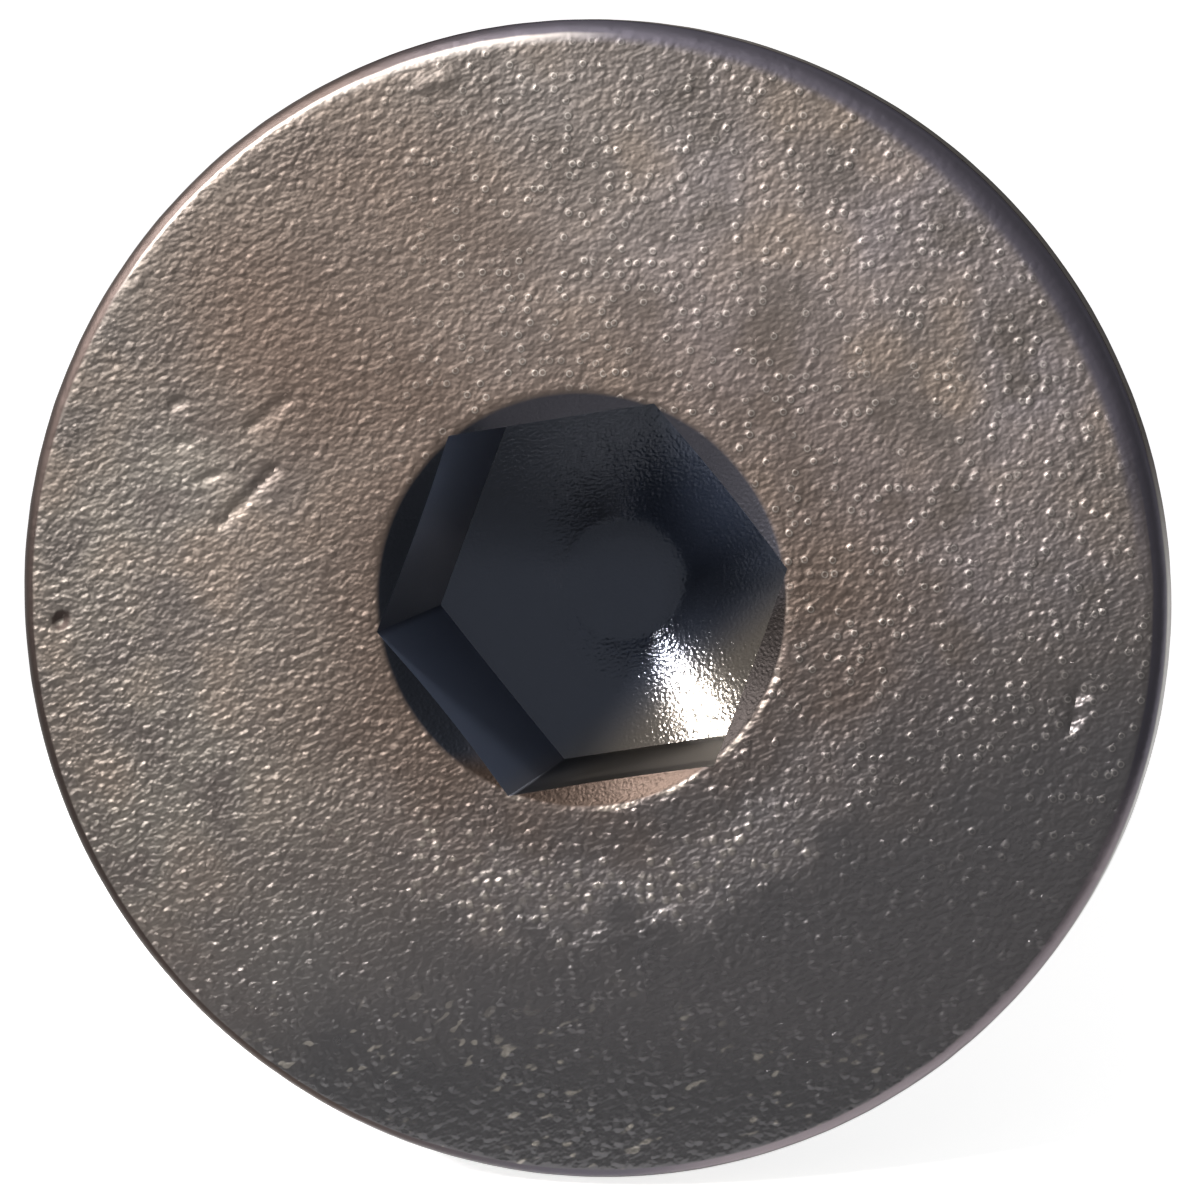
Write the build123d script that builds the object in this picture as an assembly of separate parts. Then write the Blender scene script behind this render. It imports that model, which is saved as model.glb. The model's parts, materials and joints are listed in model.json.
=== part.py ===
"""Countersunk hexagon socket screw, M8 x 20, with its thread as a true helix.

The screw is one solid. It is drawn about its own axis, with the flat face of the head
at z = 0 and the shank below it, and then laid down as it comes to rest: on the rim of
the head and the last crest of the thread, with the face of the head towards -Y. The
origin is on the floor, under the middle of the lying screw.
"""
import os
from math import atan2, ceil, cos, degrees, pi, radians, sin, tan

from build123d import *

# Driving dimensions, in millimetres and degrees.
LENGTH = 20.0               # from the face of the head to the tip
HEAD_DIAMETER = 16.4
SEAT_ANGLE = 90.0           # whole angle of the cone under the head
RIM_HEIGHT = 0.76           # from the face to where the cone starts
RIM_ROUNDING = 0.2          # of the upper edge, drawn as two narrow bevels
SEAT_BEVEL = 0.15           # in the corner between the cone and the neck
NECK_LENGTH = 1.4           # plain blank between the cone and the thread
THREAD_DIAMETER = 8.0
PITCH = 1.25
THREAD_ANGLE = 60.0
TIP_ANGLE = 45.0            # of the chamfer at the tip, from the axis
SOCKET_FLATS = 5.05
SOCKET_DEPTH = 4.2          # to where the flat walls end at the corners
SOCKET_TURN = 9.5           # of a corner, anticlockwise from +X with the face seen
SOCKET_MOUTH_DIAMETER = 5.78
SOCKET_MOUTH_ANGLE = 120.0
SOCKET_FLOOR_ANGLE = 140.0
SOCKET_FLOOR_FLAT = 1.65    # diameter of the flat in the middle of the floor

# ISO metric thread form, worked out from the pitch.
HALF_ANGLE = radians(THREAD_ANGLE / 2)
SHARP_HEIGHT = PITCH / 2 / tan(HALF_ANGLE)
CREST_RADIUS = THREAD_DIAMETER / 2
ROOT_RADIUS = CREST_RADIUS - 17 / 24 * SHARP_HEIGHT
BLANK_RADIUS = CREST_RADIUS - 3 / 8 * SHARP_HEIGHT
CREST_WIDTH = PITCH / 8
OVERLAP = 0.1               # how far joined bodies reach into each other

# Heights along the axis, below the face of the head.
HEAD_RADIUS = HEAD_DIAMETER / 2
CONE_BOTTOM = -RIM_HEIGHT - (HEAD_RADIUS - BLANK_RADIUS) / tan(radians(SEAT_ANGLE / 2))
THREAD_TOP = CONE_BOTTOM - NECK_LENGTH
TIP_RADIUS = ROOT_RADIUS - OVERLAP
CHAMFER_TOP = -LENGTH + (CREST_RADIUS - TIP_RADIUS) / tan(radians(TIP_ANGLE))


def revolved(*points):
    """A solid turned about the axis, from the corners of its half section."""
    return revolve(Plane.XZ * make_face(Polyline(*points, close=True)), Axis.Z)


def head_and_neck():
    """Rim with a broken upper edge, seat cone, neck, and the core where the thread fades."""
    fade_bottom = THREAD_TOP - 1.5 * PITCH
    halfway = RIM_ROUNDING * (1 - cos(pi / 4))
    return revolved(
        (HEAD_RADIUS - RIM_ROUNDING, 0),
        (HEAD_RADIUS - halfway, -halfway),
        (HEAD_RADIUS, -RIM_ROUNDING),
        (HEAD_RADIUS, -RIM_HEIGHT),
        (BLANK_RADIUS + SEAT_BEVEL, CONE_BOTTOM + SEAT_BEVEL),
        (BLANK_RADIUS, CONE_BOTTOM - SEAT_BEVEL),
        (BLANK_RADIUS, THREAD_TOP),
        (ROOT_RADIUS - OVERLAP, fade_bottom),
        (0, fade_bottom),
        (0, 0),
    )


def ridge():
    """One turn of thread, swept up along a helix that starts on the origin's +X side."""
    base = ROOT_RADIUS - OVERLAP
    half_crest = CREST_WIDTH / 2
    half_base = half_crest + (CREST_RADIUS - base) * tan(HALF_ANGLE)
    profile = make_face(Polyline(
        (base, -half_base),
        (CREST_RADIUS, -half_crest),
        (CREST_RADIUS, half_crest),
        (base, half_base),
        close=True,
    ))
    upright = Line((0, 0, 0), (0, 0, PITCH)).edge()
    return sweep(Plane.XZ * profile, Helix(PITCH, PITCH, CREST_RADIUS), binormal=upright)


def thread():
    """A core with the turns of the thread stacked round it, trimmed to the blank."""
    # The crest is on the lowest side of the lying screw, a quarter turn short of the
    # end of a turn, right where the full thread ends.
    last_crest = CHAMFER_TOP + CREST_WIDTH / 2
    bottom = last_crest - (2 - 1 / 4) * PITCH
    turns = ceil((THREAD_TOP - bottom) / PITCH) + 1
    one_turn = ridge()
    height = turns * PITCH
    core = Pos(0, 0, bottom + height / 2) * Cylinder(ROOT_RADIUS, height)
    rod = core + [Pos(0, 0, bottom + n * PITCH) * one_turn for n in range(turns)]
    outside = CREST_RADIUS + 1
    return rod & revolved(
        (0, -LENGTH),
        (TIP_RADIUS, -LENGTH),
        (outside, -LENGTH + (outside - TIP_RADIUS) / tan(radians(TIP_ANGLE))),
        (outside, THREAD_TOP - (outside - BLANK_RADIUS)),
        (BLANK_RADIUS, THREAD_TOP),
        (BLANK_RADIUS - 2 * OVERLAP, THREAD_TOP + 3 * OVERLAP),
        (0, THREAD_TOP + 3 * OVERLAP),
    )


def socket():
    """The hexagon socket: flat walls, a shallow conical floor and a chamfered mouth."""
    corner_radius = SOCKET_FLATS / 2 / cos(pi / 6)
    flat_radius = SOCKET_FLOOR_FLAT / 2
    slope = 1 / tan(radians(SOCKET_FLOOR_ANGLE / 2))
    floor = -SOCKET_DEPTH - (corner_radius - flat_radius) * slope
    hexagon = RegularPolygon(SOCKET_FLATS / 2, 6, major_radius=False, rotation=SOCKET_TURN)
    walls = extrude(hexagon, floor - 1) & revolved(
        (0, 0),
        (corner_radius + 1, 0),
        (corner_radius + 1, -SOCKET_DEPTH + slope),
        (flat_radius, floor),
        (0, floor),
    )
    mouth_radius = SOCKET_MOUTH_DIAMETER / 2
    mouth_depth = mouth_radius / tan(radians(SOCKET_MOUTH_ANGLE / 2))
    return walls + revolved((0, 0), (mouth_radius, 0), (0, -mouth_depth))


def lying_down(part):
    """Rest on z = 0, with the rim of the head and the end of the full thread both down."""
    rise = atan2(HEAD_RADIUS - CREST_RADIUS, -RIM_HEIGHT - CHAMFER_TOP)
    height = HEAD_RADIUS * cos(rise) + RIM_HEIGHT * sin(rise)
    laid = Pos(0, 0, height) * Rot(X=90 - degrees(rise)) * part
    return Pos(0, -laid.bounding_box().center().Y, 0) * laid


screw = lying_down(head_and_neck() + thread() - socket())
os.makedirs("parts", exist_ok=True)
export_step(screw, "parts/countersunk_screw.step")
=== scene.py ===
"""Looks of the countersunk socket screw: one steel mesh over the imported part, and its studio.

The mesh is drawn about the screw's own axis in millimetres, with the flat face of the
head at z = 0 and the shank below it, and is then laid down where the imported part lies.
In the picture the face has x to the right and y up, and the wear and the colours of the
steel are placed in the same axes.
"""
import json
from math import cos, hypot, pi, radians, sin, tan

import bpy
from mathutils import Matrix, Vector, noise

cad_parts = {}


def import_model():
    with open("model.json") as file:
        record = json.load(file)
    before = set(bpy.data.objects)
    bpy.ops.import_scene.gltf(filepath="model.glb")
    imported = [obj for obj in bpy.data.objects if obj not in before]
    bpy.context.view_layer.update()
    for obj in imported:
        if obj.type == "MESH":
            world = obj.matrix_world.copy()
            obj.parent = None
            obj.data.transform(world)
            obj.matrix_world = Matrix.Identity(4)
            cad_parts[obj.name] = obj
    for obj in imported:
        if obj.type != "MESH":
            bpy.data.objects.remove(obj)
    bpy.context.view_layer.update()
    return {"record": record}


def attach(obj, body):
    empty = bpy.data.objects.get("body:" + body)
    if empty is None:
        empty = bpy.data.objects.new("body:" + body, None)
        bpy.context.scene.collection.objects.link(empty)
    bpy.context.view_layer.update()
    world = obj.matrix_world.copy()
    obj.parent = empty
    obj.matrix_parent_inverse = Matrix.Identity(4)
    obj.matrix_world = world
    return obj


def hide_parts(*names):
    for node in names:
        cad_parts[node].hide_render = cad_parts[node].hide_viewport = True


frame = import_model()
mounts = {mount["name"]: mount for mount in frame["record"]["mounts"]}

# Sizes of the part, in millimetres and degrees.
MM = 0.001
HEAD_RADIUS = mounts["head_rim"]["dims"]["r_mm"]
RIM_ROUNDING = 0.2
RIM_HEIGHT = RIM_ROUNDING + mounts["head_rim"]["dims"]["length_mm"]
RIM_BREAK = 0.02            # how far the corner between the rim and the seat is broken
SEAT_START = 0.05           # how far past that corner the seat's cone begins
SEAT_FILLET = 0.4
NECK_LENGTH = 1.4
NECK_OVERLAP = 0.1
PITCH = 1.25
CREST_RADIUS = 4.0
CREST_WIDTH = PITCH / 8
SHARP_HEIGHT = PITCH / 2 / tan(radians(30))
ROOT_RADIUS = CREST_RADIUS - 17 / 24 * SHARP_HEIGHT
BLANK_RADIUS = CREST_RADIUS - 3 / 8 * SHARP_HEIGHT
TIP_RADIUS = ROOT_RADIUS - 0.1
RUN_OUT = 1.5 * PITCH       # length over which the root fades into the neck
SOCKET_APOTHEM = 2.525
SOCKET_CORNER = SOCKET_APOTHEM / cos(pi / 6)
SOCKET_DEPTH = 4.2
SOCKET_TURN = radians(9.5)
MOUTH_RADIUS = 2.93
MOUTH_WEAR = 0.1            # how far the worn edge of the mouth reaches into the face
MOUTH_SOFTNESS = 0.05
CORNER_FLARE = 1.012        # how much wider the hexagon's corners are at the face
WALL_DRAFT = 0.022          # how much wider the worn hexagon is at its mouth
MOUTH_SLOPE = tan(radians(30))
FLOOR_SLOPE = tan(radians(20))
FLOOR_FLAT = 0.79
FLOOR_FLAT_SHIFT = Vector((-0.21, -0.1, 0))
SOCKET_SHIFT = Vector((-0.06, 0.04, 0))     # how far the forged socket is off centre
SHIFT_END = 6.0             # radius on the face where that shift has faded out
SHIFT_FADE = 2.8            # width of the ring over which it fades

# The rounding of the rim as it is worn, in times its width when new: its mean, how much wider
# it is at its widest, where that is, how uneven it is, and how fine the unevenness is.
ROUNDING_MEAN = 1.25
ROUNDING_LEAN = 0.45
ROUNDING_WIDEST = radians(80)
ROUNDING_UNEVEN = 0.12
ROUNDING_WAVES = 4

mouth_centre = Vector(mounts["hex_socket"]["pos_m"])
LENGTH = (Vector(mounts["thread"]["pos_m"]) - mouth_centre).length / MM
CONE_BOTTOM = -RIM_HEIGHT - (HEAD_RADIUS - BLANK_RADIUS)
THREAD_TOP = CONE_BOTTOM - NECK_LENGTH
CHAMFER_TOP = -LENGTH + CREST_RADIUS - TIP_RADIUS
HELIX_START = CHAMFER_TOP + CREST_WIDTH / 2 - (2 - 1 / 4) * PITCH

# The screw's own axes: z out of the face of the head, x as the world's.
out = Vector(mounts["hex_socket"]["axis"]).normalized()
right = Vector((1, 0, 0))
up = out.cross(right)
screw_axes = Matrix.Translation(mouth_centre) @ Matrix((right, up, out)).transposed().to_4x4()

# Dents in the face of the head, each a short groove: its two ends, half its width, and
# its depth, or minus its height where it is a raised patch.
DENTS = (
    ((-5.27, 1.01), (-4.44, 1.83), 0.12, 0.036),
    ((-4.83, 2.39), (-4.29, 2.82), 0.14, 0.022),
    ((-5.98, 2.74), (-5.85, 2.77), 0.14, 0.03),
    ((-5.85, 2.18), (-5.7, 2.22), 0.12, 0.025),
    ((-5.5, 1.66), (-5.3, 1.76), 0.12, 0.025),
    ((-7.64, -0.4), (-7.58, -0.32), 0.14, 0.055),
    ((-2.3, 7.28), (-1.95, 7.38), 0.2, -0.03),
    ((6.9, -1.3), (7.0, -1.12), 0.14, 0.05),
    ((6.86, -1.62), (6.96, -1.45), 0.13, 0.05),
    ((-0.95, -4.35), (-0.45, -4.62), 0.14, 0.028),
    ((-0.15, -4.75), (0.3, -4.5), 0.13, 0.024),
    ((0.1, -5.0), (0.6, -4.72), 0.14, -0.014),
    ((0.85, -4.42), (1.25, -4.2), 0.13, 0.022),
    ((1.5, -4.15), (1.75, -4.0), 0.1, 0.02),
)

# Lumps of the forged surface: finer and broader ones, in waves to a millimetre, the share
# that the broader ones add, and how deep they go on the outside and in the socket.
FINE_LUMPS = 3.1
BROAD_LUMPS = 1.3
BROAD_SHARE = 0.6
LUMP_DEPTH = 0.004
SOCKET_LUMP_DEPTH = 0.0015

# How finely the mesh is divided: points around, counts of rings, and places of rings as shares
# of the way. On the tip and the floor's flat they are shares of the radius.
FACE_COLUMNS = 720
SHANK_COLUMNS = FACE_COLUMNS // 4
FACE_RINGS = 66
CHAMFER_SHARES = (0.12, 0.24, 0.36, 0.5, 0.66, 0.83, 1)
WALL_RINGS = 8
FLOOR_RINGS = 10
FLAT_SHARE = 0.6
RIM_RINGS = 6
LAND_SHARES = (0.25, 0.5, 0.75, 0.95)
CONE_RINGS = 22
FILLET_RINGS = 4
TIP_SHARES = {0.97: SHANK_COLUMNS, 0.66: SHANK_COLUMNS // 2, 0.33: SHANK_COLUMNS // 4}


# ---------------------------------------------------------------- mesh

class Shell:
    """Vertices and faces of a closed form, built ring by ring."""

    def __init__(self):
        self.points = []
        self.faces = []

    def ring(self, count, place):
        """A ring of points, where place(angle) gives radius and height."""
        first = len(self.points)
        for i in range(count):
            angle = SOCKET_TURN + 2 * pi * i / count
            radius, height = place(angle)
            self.points.append((radius * cos(angle), radius * sin(angle), height))
        return list(range(first, first + count))

    def circle(self, count, radius, height):
        return self.ring(count, lambda angle: (radius, height))

    def bridge(self, inner, outer):
        """Faces between two rings, of the same count or one with twice the other's."""
        coarse, dense = sorted((inner, outer), key=len)
        for i in range(len(coarse)):
            j = (i + 1) % len(coarse)
            if len(inner) == len(outer):
                faces = [(inner[i], outer[i], outer[j], inner[j])]
            else:
                between = dense[2 * i + 1]
                faces = [(coarse[i], dense[2 * i], between),
                         (coarse[i], between, coarse[j]),
                         (coarse[j], between, dense[2 * j])]
                if dense is inner:
                    faces = [face[::-1] for face in faces]
            self.faces += faces

    def chain(self, rings):
        for inner, outer in zip(rings, rings[1:]):
            self.bridge(inner, outer)

    def cap(self, ring, height, upward):
        """A fan that closes a ring."""
        centre = len(self.points)
        self.points.append((0, 0, height))
        for i in range(len(ring)):
            j = (i + 1) % len(ring)
            face = (centre, ring[i], ring[j]) if upward else (centre, ring[j], ring[i])
            self.faces.append(face)


def hexagon_radius(angle, rise=0):
    """Distance from the axis to the socket's wall, at its foot or a share of the way up."""
    turn = (angle - SOCKET_TURN) % (pi / 3)
    return SOCKET_APOTHEM * (1 + WALL_DRAFT * rise) / cos(turn - pi / 6)


def mouth_radius(angle):
    return max(MOUTH_RADIUS, hexagon_radius(angle, 1) * CORNER_FLARE)


def mouth_depth(radius):
    """Depth of the chamfer at the mouth, blended softly into the face."""
    reach = MOUTH_RADIUS - radius
    return MOUTH_SLOPE * (reach + hypot(reach, MOUTH_SOFTNESS)) / 2


def floor_height(radius):
    return -SOCKET_DEPTH - (SOCKET_CORNER - max(radius, FLOOR_FLAT)) * FLOOR_SLOPE


def thread_radius(phase):
    """Radius of the thread at a distance along the axis from the middle of a crest."""
    away = abs((phase + PITCH / 2) % PITCH - PITCH / 2)
    slope = (away - CREST_WIDTH / 2) / tan(radians(30))
    return min(CREST_RADIUS, max(ROOT_RADIUS, CREST_RADIUS - slope))


def shank_radius(angle, height):
    """Thread, the lead and the fading root at its top, and the chamfer at the tip."""
    radius = thread_radius(height - HELIX_START - PITCH * angle / (2 * pi))
    below_top = THREAD_TOP - height
    fade = BLANK_RADIUS - (BLANK_RADIUS - TIP_RADIUS) * below_top / RUN_OUT
    radius = max(min(radius, BLANK_RADIUS + max(below_top, 0)), fade)
    return min(radius, TIP_RADIUS + height + LENGTH)


def rim_width(angle):
    """How far the worn rounding of the rim reaches into the face, wider at the top."""
    uneven = noise.noise(Vector((cos(angle), sin(angle), 0)) * ROUNDING_WAVES)
    lean = ROUNDING_LEAN * cos(angle - ROUNDING_WIDEST)
    return RIM_ROUNDING * (ROUNDING_MEAN + lean + ROUNDING_UNEVEN * uneven)


def build_face(shell):
    """The flat of the head, from the mouth of the socket to the rounded rim."""
    rings = []
    for i in range(FACE_RINGS + 1):
        share = i / FACE_RINGS

        def place(angle):
            inside = mouth_radius(angle) + MOUTH_WEAR
            edge = HEAD_RADIUS - rim_width(angle)
            return inside + (edge - inside) * share, 0
        rings.append(shell.ring(FACE_COLUMNS, place))
    shell.chain(rings)
    return rings[0], rings[-1]


def build_socket(shell, mouth):
    """The chamfer at the mouth, the flat walls, and the shallow conical floor."""
    rings = [mouth]
    for share in CHAMFER_SHARES:

        def place(angle):
            outer = mouth_radius(angle) + MOUTH_WEAR
            radius = outer + (hexagon_radius(angle, 1) - outer) * share
            return radius, -mouth_depth(radius)
        rings.append(shell.ring(FACE_COLUMNS, place))
    for i in range(1, WALL_RINGS + 1):
        share = i / WALL_RINGS
        count = FACE_COLUMNS // 2 if i == 1 else FACE_COLUMNS // 4

        def place(angle):
            top = -mouth_depth(hexagon_radius(angle, 1))
            foot = hexagon_radius(angle)
            return hexagon_radius(angle, 1 - share), top + (floor_height(foot) - top) * share
        rings.append(shell.ring(count, place))
    for i in range(1, FLOOR_RINGS + 1):
        share = i / FLOOR_RINGS

        def place(angle):
            radius = hexagon_radius(angle)
            radius += (FLOOR_FLAT - radius) * share
            return radius, floor_height(radius)
        rings.append(shell.ring(FACE_COLUMNS // 4, place))
    rings.append(shell.circle(FACE_COLUMNS // 8, FLOOR_FLAT * FLAT_SHARE, floor_height(0)))
    rings.reverse()
    shell.chain(rings)
    shell.cap(rings[0], floor_height(0), upward=True)


def build_outside(shell, edge):
    """Rounded rim, land, seat cone with its fillet, and the neck."""
    rings = [edge]
    for i in range(1, RIM_RINGS + 1):
        tilt = pi / 2 * i / RIM_RINGS

        def place(angle):
            return (HEAD_RADIUS - rim_width(angle) * (1 - sin(tilt)),
                    -RIM_ROUNDING * (1 - cos(tilt)))
        rings.append(shell.ring(FACE_COLUMNS, place))
    land = RIM_HEIGHT - RIM_ROUNDING
    profile = [(HEAD_RADIUS, -RIM_ROUNDING - land * share) for share in LAND_SHARES]
    profile.append((HEAD_RADIUS - RIM_BREAK, -RIM_HEIGHT))
    reach = SEAT_FILLET * tan(radians(22.5))
    top = (HEAD_RADIUS - SEAT_START, -RIM_HEIGHT - SEAT_START)
    bottom = (BLANK_RADIUS + reach * cos(pi / 4), CONE_BOTTOM + reach * cos(pi / 4))
    for i in range(CONE_RINGS + 1):
        share = i / CONE_RINGS
        profile.append(tuple(a + (b - a) * share for a, b in zip(top, bottom)))
    rings += [shell.circle(FACE_COLUMNS // 2, *at) for at in profile]
    for i in range(1, FILLET_RINGS + 1):
        angle = pi / 4 * (1 - i / FILLET_RINGS)
        radius = BLANK_RADIUS + SEAT_FILLET * (1 - cos(angle))
        height = CONE_BOTTOM - reach + SEAT_FILLET * sin(angle)
        rings.append(shell.circle(SHANK_COLUMNS, radius, height))
    shell.chain(rings)
    return rings[-1]


def build_shank(shell, neck):
    """The thread, in rows that follow its helix from the neck down to the tip."""
    top = THREAD_TOP + NECK_OVERLAP
    tip = shell.circle(SHANK_COLUMNS, TIP_RADIUS, -LENGTH)
    crest = CREST_WIDTH / 2
    flank = (CREST_RADIUS - ROOT_RADIUS) * tan(radians(30))
    down_one_pitch = [crest, -crest]
    down_one_pitch += [-crest - flank * share for share in (1 / 3, 2 / 3, 1)]
    down_one_pitch += [-PITCH / 2]
    down_one_pitch += [crest + flank * share - PITCH for share in (1, 2 / 3, 1 / 3)]
    rows = len(down_one_pitch)
    turns = int((top + LENGTH) / PITCH) + 3
    grid = {}

    def corner(row, column):
        """The point of a row in a column. Rows end on the neck above and the tip below."""
        if column == SHANK_COLUMNS:
            row, column = row - rows, 0
        if (row, column) not in grid:
            angle = SOCKET_TURN + 2 * pi * column / SHANK_COLUMNS
            pitches = HELIX_START - PITCH * (row // rows - turns + 1)
            height = pitches + PITCH * angle / (2 * pi) + down_one_pitch[row % rows]
            if height > top:
                grid[row, column] = neck[column]
            elif height < -LENGTH:
                grid[row, column] = tip[column]
            else:
                grid[row, column] = len(shell.points)
                radius = shank_radius(angle, height)
                shell.points.append((radius * cos(angle), radius * sin(angle), height))
        return grid[row, column]

    for row in range((turns + 2) * rows):
        for column in range(SHANK_COLUMNS):
            corners = (corner(row, column), corner(row + 1, column),
                       corner(row + 1, column + 1), corner(row, column + 1))
            face = tuple(dict.fromkeys(corners))
            if len(face) > 2:
                shell.faces.append(face)
    return tip


def build_tip(shell, tip):
    rings = [tip]
    for share, count in TIP_SHARES.items():
        rings.append(shell.circle(count, TIP_RADIUS * share, -LENGTH))
    shell.chain(rings)
    shell.cap(rings[-1], -LENGTH, upward=False)


def build_screw():
    shell = Shell()
    mouth, edge = build_face(shell)
    build_socket(shell, mouth)
    neck = build_outside(shell, edge)
    build_tip(shell, build_shank(shell, neck))
    mesh = bpy.data.meshes.new("screw")
    mesh.from_pydata(shell.points, [], shell.faces)
    mesh.validate()
    return mesh


def dent(place):
    """How deep the dents are at a point of the face."""
    depth = 0
    for start, end, half_width, deepest in DENTS:
        start, along = Vector(start), Vector(end) - Vector(start)
        away = place.to_2d() - start
        share = min(max(away.dot(along) / along.length_squared, 0), 1)
        distance = (away - along * share).length / half_width
        if distance < 1:
            depth += deepest * (1 - distance * distance) ** 2
    return depth


def wear(mesh):
    """Press the lumps and dents that are too large for a bump map into the surface.

    The lumps are sunk a little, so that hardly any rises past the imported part.
    """
    just_below = 0.02
    past_corner = SOCKET_CORNER + 0.13
    below_floor = -SOCKET_DEPTH - 1.5
    normals = [vertex.normal.copy() for vertex in mesh.vertices]
    for vertex, normal in zip(mesh.vertices, normals):
        place = vertex.co.copy()
        radius = hypot(place.x, place.y)
        in_socket = radius < past_corner and place.z > below_floor
        lump = noise.noise(place * FINE_LUMPS) + BROAD_SHARE * noise.noise(place * BROAD_LUMPS)
        depth = SOCKET_LUMP_DEPTH if in_socket else LUMP_DEPTH
        vertex.co = place + normal * depth * (lump - 1)
        if place.z > -just_below:
            vertex.co.z -= dent(place)
        if in_socket and place.z < -SOCKET_DEPTH - just_below:
            share = min((SOCKET_CORNER - radius) / (SOCKET_CORNER - FLOOR_FLAT), 1)
            vertex.co += FLOOR_FLAT_SHIFT * share
        if in_socket or place.z > -RIM_ROUNDING:
            vertex.co += SOCKET_SHIFT * min(max((SHIFT_END - radius) / SHIFT_FADE, 0), 1)


def add_object(name, data):
    thing = bpy.data.objects.new(name, data)
    bpy.context.scene.collection.objects.link(thing)
    return thing


screw_mesh = build_screw()
wear(screw_mesh)
screw_mesh.transform(screw_axes @ Matrix.Scale(MM, 4))
screw_mesh.shade_smooth()
screw_mesh.set_sharp_from_angle(angle=radians(27))
screw = add_object("screw", screw_mesh)
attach(screw, "root")
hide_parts("countersunk_screw")


# ---------------------------------------------------------------- materials

# Colours of the face: its plain finish, the casts and clouds in it, the painted shade at the upper
# left, the duller steel at the bottom, whose darker grey is partly painted shade, and the painted
# glints on the specks and rings of its grain, with how much of some shows.
LEFT_GREY = (0.13, 0.12, 0.108, 1)
RIGHT_GREY = (0.132, 0.119, 0.123, 1)
WARM_GREY = (0.128, 0.106, 0.091, 1)
CLOUD_GREY = (0.098, 0.086, 0.08, 1)
UPPER_LEFT_PAINTED_SHADE = (0.07, 0.064, 0.058, 1)
BROWN = (0.077, 0.058, 0.048, 1)
DULL_GREY_AND_SHADE = (0.099, 0.095, 0.099, 1)
BOTTOM_GREY_AND_SHADE = (0.078, 0.077, 0.081, 1)
PAINTED_GLINT = (0.5, 0.46, 0.4, 1)
GLINT_RING = (0.42, 0.4, 0.37, 1)
BROWN_SHARE = 0.95
UPPER_BROWN_SHARE = 0.65
UPPER_LEFT_SHADE_SHARE = 0.45
ARC_GLINT_SHARE = 0.2
GLINT_SHARE = 0.4
GLINT_RING_SHARE = 0.24

# Colours of the rim and of the land below it: the rim's dark slate is painted shade, with a painted
# reflection at the lower right and a painted highlight at the upper left.
RIM_SHADE_SLATE = (0.062, 0.058, 0.072, 1)
RIM_LEFT = (0.036, 0.027, 0.024, 1)
RIM_LOWER_RIGHT_REFLECTION = (0.15, 0.13, 0.142, 1)
RIM_HIGHLIGHT = (0.3, 0.28, 0.26, 1)
LAND_GREY = (0.12, 0.108, 0.095, 1)

# Colours of the chamfer at the socket's mouth, with painted shade at the lower right, of its
# painted highlight line, and of the socket, lighter and warmer at the lower right as painted light.
CHAMFER_SLATE = (0.036, 0.036, 0.044, 1)
CHAMFER_LEFT = (0.011, 0.013, 0.018, 1)
CHAMFER_LOW_SHADE = (0.007, 0.0055, 0.005, 1)
CHAMFER_COPPER = (0.027, 0.0185, 0.0145, 1)
HIGHLIGHT_LINE = (0.36, 0.32, 0.28, 1)
HIGHLIGHT_LINE_SHARE = 0.45
SOCKET_BLUE = (0.07, 0.085, 0.125, 1)
SOCKET_LIT_WARM = (0.125, 0.112, 0.098, 1)

# Tints of the gleam, plain and where little light falls.
PLAIN_GLEAM = (1, 1, 1, 1)
DIM_GLEAM = (0.15, 0.15, 0.17, 1)

# The brown about the socket and at the upper left: a centre on the face, the distance from
# it where the brown begins, and the distance where it is full.
BROWNED = (((0.5, -0.3, 0), 6.4, 3.2), ((-3.0, 4.3, 0), 4.2, 1.5))

# How metallic and how rough the steel is on the outside and in the socket. The outside is
# between two roughnesses where it isn't smooth.
OUTSIDE_METAL = 0.9
SOCKET_METAL = 0.35
LEAST_ROUGH = 0.4
MOST_ROUGH = 0.58
SMOOTH_ROUGH = 0.27
WALL_ROUGH = 0.34
FLOOR_ROUGH = 0.12

# The grain: ridges and beads of the finish, and glints in it, by how many go to a millimetre,
# how far ridges and glints are stretched, and how high the ridges are in the bump's own height.
GRAIN_SLANT = radians(25)
GRAIN_HEIGHT = 0.038
GRAIN_WAVES = 10.0
GRAIN_STRETCH = 1.25
RIDGE_HEIGHT = 0.8
GLINT_WAVES = 6.5
GLINT_STRETCH = 1.8
BEAD_CELLS = 5.8
SOCKET_FINENESS = 2.3       # how much finer the grain is in the socket
PATCH_RAGGEDNESS = 3.0      # how far the border of the dull steel wanders
ARC_SMOOTHNESS = 0.3        # how smooth the pebbled arc in the dull steel is
WALL_MIDDLE = 2.2           # depth of the middle of the socket's walls


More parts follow.
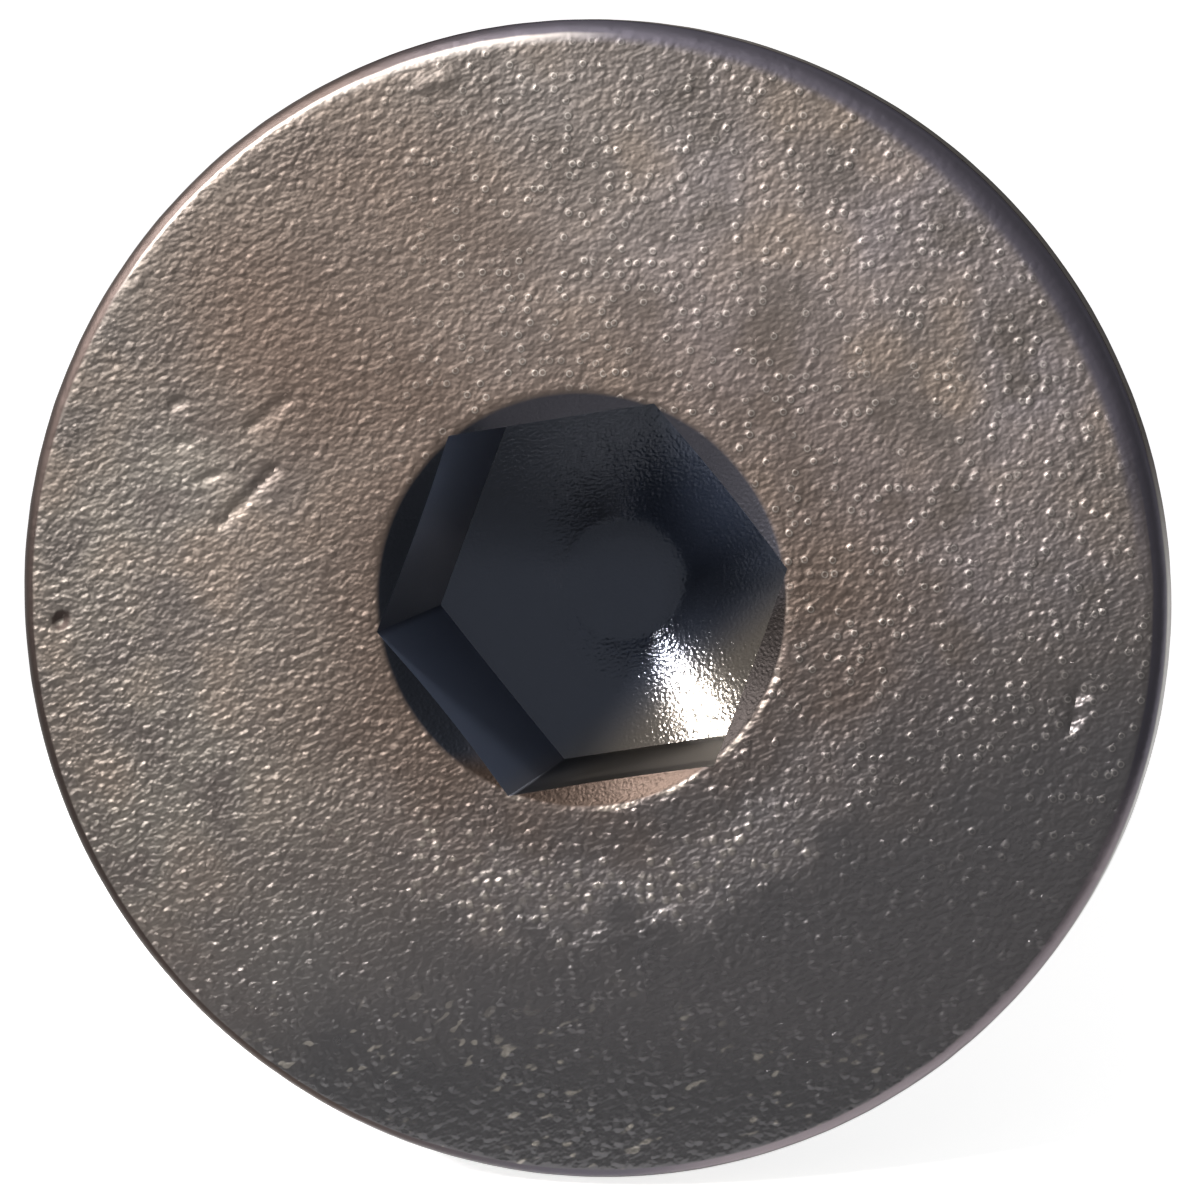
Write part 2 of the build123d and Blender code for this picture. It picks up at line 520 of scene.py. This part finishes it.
class Graph:
    """Short ways to add nodes. A socket can be given a value or another node's output."""

    def __init__(self, owner):
        """owner is the name of a new material, or the world."""
        if isinstance(owner, str):
            owner = bpy.data.materials.new(owner)
            owner.use_nodes = True
        self.material = owner
        self.nodes = owner.node_tree.nodes
        self.links = owner.node_tree.links
        self.nodes.clear()

    def add(self, kind, inputs, **settings):
        node = self.nodes.new("ShaderNode" + kind)
        for name, value in settings.items():
            setattr(node, name, value)
        for name, value in inputs.items():
            self.feed(node.inputs[name], value)
        return node

    def feed(self, socket, value):
        if isinstance(value, bpy.types.NodeSocket):
            self.links.new(value, socket)
        else:
            socket.default_value = value

    def math(self, operation, a, b=0.0):
        return self.add("Math", {0: a, 1: b}, operation=operation).outputs[0]

    def product(self, first, *others):
        for other in others:
            first = self.math("MULTIPLY", first, other)
        return first

    def largest(self, a, b):
        return self.math("MAXIMUM", a, b)

    def scaled(self, vector, factor):
        inputs = {0: vector, "Scale": factor}
        return self.add("VectorMath", inputs, operation="SCALE").outputs[0]

    def dot(self, a, b):
        return self.add("VectorMath", {0: a, 1: b}, operation="DOT_PRODUCT").outputs["Value"]

    def distance(self, a, b):
        return self.add("VectorMath", {0: a, 1: b}, operation="DISTANCE").outputs["Value"]

    def step(self, value, low, high):
        """0 at low and 1 at high, smooth between."""
        inputs = {"Value": value, "From Min": low, "From Max": high}
        return self.add("MapRange", inputs, interpolation_type="SMOOTHSTEP").outputs[0]

    def mix(self, factor, a, b):
        """a where the factor is 0 and b where it is 1, for two numbers or two colours."""
        node = self.nodes.new("ShaderNodeMix")
        coloured = any(isinstance(value, tuple) or getattr(value, "type", None) == "RGBA"
                       for value in (a, b))
        node.data_type = "RGBA" if coloured else "FLOAT"
        kind = "_Color" if coloured else "_Float"
        inputs = {socket.identifier: socket for socket in node.inputs}
        self.feed(inputs["Factor_Float"], factor)
        self.feed(inputs["A" + kind], a)
        self.feed(inputs["B" + kind], b)
        return next(socket for socket in node.outputs if socket.identifier == "Result" + kind)

    def noise(self, vector, scale, detail=2.0):
        """Noise from about 0 to 1."""
        inputs = {"Vector": vector, "Scale": scale, "Detail": detail, "Roughness": 0.5}
        return self.add("TexNoise", inputs).outputs["Fac"]


class Steel(Graph):
    """The black finish of the screw, worn by place. All lengths in it are in millimetres.

    across, along and height are the screw's x, y and z. radius is counted from the middle of
    the socket, and facing is 1 where the surface looks out of the face. A mask is 1 where its
    name holds and 0 elsewhere, and low is the mask of the lower right.
    """

    def __init__(self):
        super().__init__("black_steel")
        back = screw_axes.inverted()
        self.where = self.add("Mapping", {
            "Vector": self.add("TexCoord", {}).outputs["Object"],
            "Location": back.to_translation() / MM,
            "Rotation": back.to_euler(),
            "Scale": (1 / MM, 1 / MM, 1 / MM),
        }).outputs[0]
        self.across, self.along, self.height = self.add("SeparateXYZ", {0: self.where}).outputs
        self.flat = self.add("CombineXYZ", {"X": self.across, "Y": self.along}).outputs[0]
        self.radius = self.distance(self.flat, SOCKET_SHIFT)
        self.facing = self.dot(self.add("NewGeometry", {}).outputs["Normal"], out)
        self.upper_right = self.toward(62)
        self.upper_left = self.toward(118)
        self.lower_right = self.toward(310)
        self.low = self.step(self.lower_right, 1.0, 1.9)
        self.cloud = self.noise(self.where, 0.9)
        self.mark_socket()
        self.mark_rim()
        self.mark_smooth_steel()
        self.mark_beads()

    def toward(self, degrees):
        """How far a point lies from the axis in a direction, which is counted from x to y."""
        return self.dot(self.flat, (cos(radians(degrees)), sin(radians(degrees)), 0))

    def slanted(self, vector, stretch):
        """Coordinates turned and stretched, for marks that run slanting across the face."""
        inputs = {"Vector": vector, "Rotation": (0, 0, GRAIN_SLANT), "Scale": (stretch, 1, 1)}
        return self.add("Mapping", inputs, vector_type="TEXTURE").outputs[0]

    def mark_socket(self):
        """Masks of the socket below its chamfer, its walls, and the chamfer at its mouth."""
        below_chamfer = self.step(self.height, -0.22, -0.26)
        above_tip = self.step(self.height, -SOCKET_DEPTH - 1.4, -SOCKET_DEPTH - 1.2)
        steep = self.step(self.facing, 0.7, 0.6)
        within = self.step(self.radius, MOUTH_RADIUS + 0.15, MOUTH_RADIUS + 0.09)
        self.inside = self.product(self.largest(below_chamfer, steep), within, above_tip)
        self.wall = self.step(self.facing, 0.6, 0.4)
        self.near_face = self.step(self.height, -2.0, -1.0)
        sunken = self.step(self.height, -0.005, -0.03)
        within = self.step(self.radius, MOUTH_RADIUS + 0.12, MOUTH_RADIUS + 0.07)
        self.chamfer = self.product(sunken, within, self.near_face)

    def mark_rim(self):
        """Masks of the rounded rim, its painted highlight and shaded parts, and the land below it.
        """
        near_edge = self.step(self.radius, HEAD_RADIUS - 0.9, HEAD_RADIUS - 0.7)
        above_seat = self.step(self.height, -RIM_HEIGHT - 0.19, -RIM_HEIGHT - 0.04)
        outer = self.product(near_edge, above_seat)
        rounded = self.product(self.step(self.facing, 0.99, 0.96), outer)
        at_edge = self.step(self.radius, HEAD_RADIUS - 0.4, HEAD_RADIUS - 0.24)
        wide = self.product(at_edge, self.step(self.upper_right, 3.5, 6.0))
        self.rim = self.largest(rounded, wide)
        far_upper_left = self.step(self.upper_left, 6.7, 7.6)
        inner_side = self.step(self.facing, 0.94, 0.97)
        self.rim_highlight = self.product(far_upper_left, inner_side, self.rim)
        self.land = self.product(self.step(self.facing, 0.35, 0.1), outer)
        outer_side = self.step(self.facing, 0.8, 0.4)
        far_upper_right = self.step(self.upper_right, 4.0, 6.0)
        self.shaded = self.product(outer_side, outer, far_upper_right)

    def mark_smooth_steel(self):
        """Masks of the dull, smooth bottom of the face, and of a pebbled arc at its top."""
        ragged = self.product(self.math("SUBTRACT", self.cloud, 0.5), PATCH_RAGGEDNESS)
        downward = self.math("ADD", self.toward(292), ragged)
        outward = self.math("ADD", self.radius, ragged)
        self.dull = self.step(downward, 0.6, 5.6)
        arc = self.product(self.step(outward, 5.1, 4.3), self.step(self.radius, 3.5, 3.9))
        self.smooth = self.product(self.dull, self.mix(arc, 1.0, ARC_SMOOTHNESS))
        self.arc = self.product(arc, self.step(self.along, -2.5, -3.5))

    def mark_beads(self):
        """Masks of the beads, in cells of which some are bare, and of rings about a few, which
        carry painted glints.
        """
        in_socket = self.math("LESS_THAN", self.radius, MOUTH_RADIUS - 0.03)
        self.fine = self.scaled(self.where, self.mix(in_socket, 1.0, SOCKET_FINENESS))
        cells = self.add("TexVoronoi", {"Vector": self.fine, "Scale": BEAD_CELLS},
                         voronoi_dimensions="2D").outputs
        away, chance = cells["Distance"], cells["Color"]
        dome = self.step(away, 0.5, 0.1)
        present = self.step(chance, 0.3, 0.8)
        level = self.step(self.math("ABSOLUTE", self.facing), 0.3, 0.6)
        self.bead = self.product(dome, present, level)
        ring = self.product(self.step(away, 0.32, 0.26), self.step(away, 0.14, 0.22))
        few = self.step(chance, 0.58, 0.72)
        on_face = self.step(self.facing, 0.9, 0.97)
        upper = self.step(self.upper_right, -3.0, 2.0)
        rightward = self.step(self.across, -4.0, -0.5)
        self.ring = self.product(ring, few, on_face, upper, rightward)

    def face_colour(self):
        """Brownish grey in clouds, brown about the socket, darkened at the upper left as painted
        shade, and dull at the bottom, darker there partly as painted shade, with painted glints.
        """
        rightward = self.step(self.across, -5.5, 3.5)
        warm = self.step(self.noise(self.where, 0.45), 0.35, 0.68)
        clouded = self.step(self.cloud, 0.62, 0.3)
        upper_left = self.step(self.upper_left, 3.0, 6.8)
        upper = self.step(self.upper_right, 1.2, 3.2)
        bottom = self.step(self.along, -5.5, -7.2)
        browned = self.largest(*(self.step(self.distance(self.flat, centre), start, full)
                                 for centre, start, full in BROWNED))
        browned = self.product(browned, self.mix(upper, BROWN_SHARE, UPPER_BROWN_SHARE))
        colour = self.mix(rightward, LEFT_GREY, RIGHT_GREY)
        colour = self.mix(warm, colour, WARM_GREY)
        colour = self.mix(clouded, colour, CLOUD_GREY)
        # Painted shade: the upper left is darkened where the lamps light it most.
        colour = self.mix(self.product(upper_left, UPPER_LEFT_SHADE_SHARE), colour, UPPER_LEFT_PAINTED_SHADE)
        colour = self.mix(browned, colour, BROWN)
        # The dull steel is smoother; its darker grey, darkest at the bottom, is partly painted
        # shade.
        colour = self.mix(self.dull, colour, self.mix(bottom, DULL_GREY_AND_SHADE, BOTTOM_GREY_AND_SHADE))
        # Painted glints on the beads of the arc and in the dull steel, and painted glint rings.
        colour = self.mix(self.product(self.bead, self.arc, ARC_GLINT_SHARE), colour, PAINTED_GLINT)
        colour = self.mix(self.glints(), colour, PAINTED_GLINT)
        return self.mix(self.product(self.ring, GLINT_RING_SHARE), colour, GLINT_RING)

    def glints(self):
        """Painted glints: short slanting ones, here and there in the dull steel at the bottom."""
        marks = self.noise(self.slanted(self.where, GLINT_STRETCH), GLINT_WAVES, 1.0)
        marks = self.step(marks, 0.63, 0.7)
        here_and_there = self.step(self.noise(self.where, 0.8, 1.0), 0.42, 0.55)
        bottom = self.step(self.along, -5.2, -6.2)
        return self.product(marks, here_and_there, self.dull, bottom, GLINT_SHARE)

    def over_rim(self, colour):
        """Painted shade in slate, darkest at the left, a painted reflection at the lower right, and
        a painted highlight at the upper left.
        """
        leftward = self.step(self.across, 0.5, -4.0)
        far_lower_right = self.step(self.lower_right, 6.4, 7.6)
        slate = self.mix(leftward, RIM_SHADE_SLATE, RIM_LEFT)
        slate = self.mix(far_lower_right, slate, RIM_LOWER_RIGHT_REFLECTION)
        colour = self.mix(self.rim, colour, slate)
        colour = self.mix(self.rim_highlight, colour, RIM_HIGHLIGHT)
        return self.mix(self.land, colour, LAND_GREY)

    def over_chamfer(self, colour):
        """Slate, near black at the left and, as painted shade, at the lower right, coppery below,
        with a painted highlight line.
        """
        rightward = self.step(self.across, -1.9, -1.2)
        bottom = self.step(self.along, -2.1, -2.45)
        edge = self.mix(rightward, CHAMFER_LEFT, CHAMFER_SLATE)
        edge = self.mix(self.low, edge, CHAMFER_LOW_SHADE)
        edge = self.mix(bottom, edge, CHAMFER_COPPER)
        colour = self.mix(self.chamfer, colour, edge)
        off_line = self.math("SUBTRACT", self.radius, MOUTH_RADIUS + 0.035)
        on_line = self.step(self.math("ABSOLUTE", off_line), 0.05, 0.02)
        broken = self.step(self.noise(self.where, 2.6, 1.0), 0.44, 0.62)
        line = self.product(on_line, self.low, broken, self.near_face, HIGHLIGHT_LINE_SHARE)
        return self.mix(line, colour, HIGHLIGHT_LINE)

    def over_socket(self, colour):
        """Bluish black, lighter and warmer at the lower right as painted light where the lamp's
        patch falls, with painted light and shade on the walls and floor.
        """
        deep = self.mix(self.low, SOCKET_BLUE, SOCKET_LIT_WARM)
        shade = self.mix(self.wall, self.floor_shade(), self.wall_shade())
        return self.mix(self.inside, colour, self.scaled(deep, shade))

    def wall_shade(self):
        """Painted light and shade on the walls. The lowest has a lighter band along its middle."""
        off_middle = self.math("ABSOLUTE", self.math("ADD", self.height, WALL_MIDDLE))
        band = self.mix(self.step(off_middle, 1.5, 1.1), 0.6, 1.2)
        lowest = self.product(band, self.mix(self.step(self.across, 0.0, 1.9), 0.18, 0.6))
        others = self.mix(self.step(self.across, -0.3, 1.6), 0.12, 0.6)
        upper_left = self.mix(self.step(self.along, 0.2, 1.8), 0.3, 1.7)
        below_left_corner = self.step(self.along, -0.42, -0.55)
        left = self.mix(below_left_corner, upper_left, 2.0)
        left_of_low_corner = self.step(self.across, -1.0, -1.12)
        return self.mix(left_of_low_corner, self.mix(self.low, others, lowest), left)

    def floor_shade(self):
        """Painted light and shade on the floor in its quarters, and plain at the lower right."""
        rightward = self.step(self.across, 0.1, 1.3)
        upward = self.step(self.along, -0.2, 1.3)
        lower_half = self.mix(rightward, 0.95, 0.35)
        upper_half = self.mix(rightward, 0.55, 2.6)
        return self.mix(self.low, self.mix(upward, lower_half, upper_half), 1.0)

    def grain(self):
        """Bump of slanting ridges and beads, weaker where the steel is smooth or worn."""
        rightward = self.step(self.across, -4.0, 2.0)
        unclouded = self.step(self.cloud, 0.3, 0.55)
        outward = self.step(self.radius, 5.0, 7.5)
        upward = self.step(self.along, -3.5, 4.5)
        ridges = self.noise(self.slanted(self.fine, GRAIN_STRETCH), GRAIN_WAVES, 1.0)
        bead_height = self.mix(self.dull, self.mix(rightward, 0.26, 0.38), 0.5)
        beads = self.product(self.bead, bead_height)
        height = self.math("ADD", self.product(ridges, RIDGE_HEIGHT), beads)
        strength = self.mix(outward, self.mix(unclouded, 0.62, 0.84), 1.0)
        strength = self.product(strength, self.mix(upward, 1.2, 0.66))
        for worn, weaker in ((self.smooth, 0.52), (self.rim, 0.15), (self.chamfer, 0.2),
                             (self.inside, 0.12)):
            strength = self.mix(worn, strength, weaker)
        inputs = {"Strength": strength, "Distance": GRAIN_HEIGHT * MM, "Height": height}
        return self.add("Bump", inputs).outputs[0]

    def roughness(self):
        inputs = {"Value": self.cloud, "To Min": LEAST_ROUGH, "To Max": MOST_ROUGH}
        rough = self.mix(self.smooth, self.add("MapRange", inputs).outputs[0], SMOOTH_ROUGH)
        return self.mix(self.inside, rough, self.mix(self.wall, FLOOR_ROUGH, WALL_ROUGH))

    def gleam(self):
        """Dim on the shaded rim, and on the lowest wall of the socket but for its right end."""
        leftward = self.step(self.across, 1.5, 0.3)
        lowest_wall = self.product(self.inside, self.wall, leftward, self.low)
        return self.mix(self.largest(self.shaded, lowest_wall), PLAIN_GLEAM, DIM_GLEAM)


def black_steel():
    steel = Steel()
    colour = steel.over_rim(steel.face_colour())
    colour = steel.over_socket(steel.over_chamfer(colour))
    shader = steel.add("BsdfPrincipled", {
        "Base Color": colour,
        "Metallic": steel.mix(steel.inside, OUTSIDE_METAL, SOCKET_METAL),
        "Specular Tint": steel.gleam(),
        "Roughness": steel.roughness(),
        "Normal": steel.grain(),
    })
    steel.add("OutputMaterial", {"Surface": shader.outputs[0]})
    return steel.material


screw_mesh.materials.append(black_steel())


# ---------------------------------------------------------------- studio

WHITE = (1, 1, 1, 1)
PALE = (0.8, 0.8, 0.8, 1)
FLOOR_HALF = 0.6            # in metres
FLOOR_GLOW = 0.78           # with the light that falls on the floor, white
ROOM_LIGHT = 0.4
LAMP_DISTANCE = 70

# Where the backdrop begins for what reflects it, from front to back: a span of the floor, in
# metres, and a span of the directions in which the room is seen.
FLOOR_BACKDROP = (-0.02, 0.0)
ROOM_BACKDROP = (0.0, 0.25)


def white_backdrop(graph, behind):
    """1 for the camera, and for metal and glass that reflect what lies behind the screw."""
    path = graph.add("LightPath", {}).outputs
    mirrored = graph.largest(path["Is Glossy Ray"], path["Is Transmission Ray"])
    return graph.largest(path["Is Camera Ray"], graph.product(mirrored, behind))


def floor():
    """A pale floor, white to the camera, and to metal where it lies behind the face."""
    plane = bpy.data.meshes.new("floor")
    corners = [(x * FLOOR_HALF, y * FLOOR_HALF, 0) for x, y in ((-1, -1), (1, -1), (1, 1), (-1, 1))]
    plane.from_pydata(corners, [], [(0, 1, 2, 3)])
    graph = Graph("floor")
    position = graph.add("NewGeometry", {}).outputs["Position"]
    depth = graph.add("SeparateXYZ", {0: position}).outputs["Y"]
    behind = graph.step(depth, *FLOOR_BACKDROP)
    shader = graph.add("BsdfPrincipled", {
        "Base Color": PALE,
        "Roughness": 0.9,
        "Specular IOR Level": 0.1,
        "Emission Color": WHITE,
        "Emission Strength": graph.product(white_backdrop(graph, behind), FLOOR_GLOW),
    })
    graph.add("OutputMaterial", {"Surface": shader.outputs[0]})
    plane.materials.append(graph.material)
    add_object("floor", plane)


def world():
    """A dim room in front of the screw, and the white backdrop behind it."""
    scene = bpy.context.scene
    scene.world = bpy.data.worlds.new("studio")
    scene.world.use_nodes = True
    graph = Graph(scene.world)
    toward = graph.add("TexCoord", {}).outputs["Generated"]
    depth = graph.add("SeparateXYZ", {0: toward}).outputs["Y"]
    seen = white_backdrop(graph, graph.step(depth, *ROOM_BACKDROP))
    strength = graph.mix(seen, ROOM_LIGHT, 1.0)
    room = graph.add("Background", {"Color": WHITE, "Strength": strength})
    graph.add("OutputWorld", {"Surface": room.outputs[0]})


def direction(azimuth, off_axis):
    """A direction about the screw's axis, in degrees: its turn from x, and its lean from z."""
    azimuth, off_axis = radians(azimuth), radians(off_axis)
    return Vector((sin(off_axis) * cos(azimuth), sin(off_axis) * sin(azimuth), cos(off_axis)))


def lamp(name, azimuth, off_axis, aim, size, cone, power, colour):
    """A soft lamp in a snoot, placed about the screw's axis, that lights the head alone."""
    data = bpy.data.lights.new(name, "SPOT")
    data.shadow_soft_size = size / 2 * MM
    data.spot_size = radians(cone)
    data.spot_blend = 1
    data.energy = power
    data.color = colour
    light = add_object(name, data)
    light.location = screw_axes @ (direction(azimuth, off_axis) * LAMP_DISTANCE * MM)
    target = screw_axes @ (Vector(aim) * MM)
    light.rotation_mode = "QUATERNION"
    light.rotation_quaternion = (light.location - target).to_track_quat("Z", "Y")


# The camera looks at the head from a little above and to its right.
CAMERA_AZIMUTH = 26.8
CAMERA_OFF_AXIS = 11.5
CAMERA_DISTANCE = 97
CAMERA_AIM = (0.215, 0.054, 0)
CAMERA_SCALE = 71.06        # picture's pixels to a millimetre at the head
PICTURE = 1200              # the picture's width in pixels
SENSOR = 36                 # the camera's own width, in millimetres
NEAREST = 0.005             # how near to the camera a thing may be and still show, in metres


def camera():
    data = bpy.data.cameras.new("camera")
    data.sensor_width = SENSOR
    data.lens = SENSOR * CAMERA_SCALE * CAMERA_DISTANCE / PICTURE
    data.clip_start = NEAREST
    eye = add_object("camera", data)
    bpy.context.scene.camera = eye
    back = direction(CAMERA_AZIMUTH, CAMERA_OFF_AXIS)
    across = Vector((0, 1, 0)).cross(back).normalized()
    turn = Matrix((across, back.cross(across), back)).transposed().to_4x4()
    place = (Vector(CAMERA_AIM) + back * CAMERA_DISTANCE) * MM
    eye.matrix_world = screw_axes @ Matrix.Translation(place) @ turn


floor()
world()

# All three lamps stand at the upper left. The first lights the middle of the head, the
# second its upper right, and the third its lower left.
lamp("key", azimuth=136, off_axis=41, aim=(-2, 2.6, 0),
     size=9.5, cone=19, power=0.2, colour=(1, 0.95, 0.9))
lamp("top", azimuth=148, off_axis=58, aim=(11.2, 6.0, 0),
     size=26, cone=22, power=1.55, colour=(1, 0.96, 0.95))
lamp("left", azimuth=130, off_axis=58, aim=(-7.0, -5.2, 0),
     size=22, cone=21, power=0.64, colour=(1, 0.98, 0.95))
camera()
bpy.context.scene.view_settings.view_transform = "Standard"
